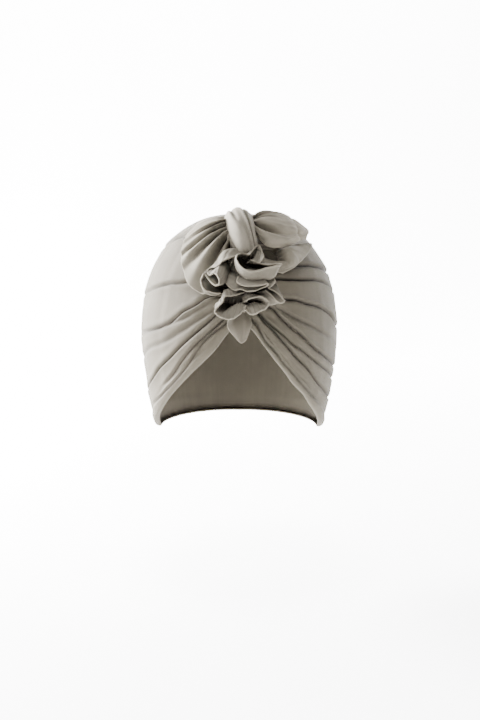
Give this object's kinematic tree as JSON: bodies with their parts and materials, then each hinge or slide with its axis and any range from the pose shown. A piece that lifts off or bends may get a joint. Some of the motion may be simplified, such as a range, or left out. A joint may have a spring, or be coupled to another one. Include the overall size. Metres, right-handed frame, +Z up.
{
  "type": "turban headwrap",
  "caption": "Stretch jersey turban cap gathered at the front under a knot with bow lobes, a ruffled strip and a pointed tail, open below for the head.",
  "frame": {"origin": "where the top of the wearer's head touches the inside of the cap", "axes": "+Z up the standing wearer, -Y the way the face looks, +X to the viewer's right when facing the wearer"},
  "size_m": [0.1587, 0.2105, 0.1795],
  "materials": {
    "cap_jersey": "matt stretched knit",
    "knot_jersey": "matt knit in tight folds",
    "bow_jersey": "matt knit in soft pleats",
    "ruffle_jersey": "matt knit with a turned edge"
  },
  "bodies": {
    "root": {"crown": "cap_jersey", "knot": "knot_jersey", "bow_left": "bow_jersey", "bow_right_upper": "bow_jersey", "bow_right_lower": "bow_jersey", "ruffle_upper": "ruffle_jersey", "ruffle_lower": "ruffle_jersey", "tail": "ruffle_jersey"}
  },
  "joints": []
}
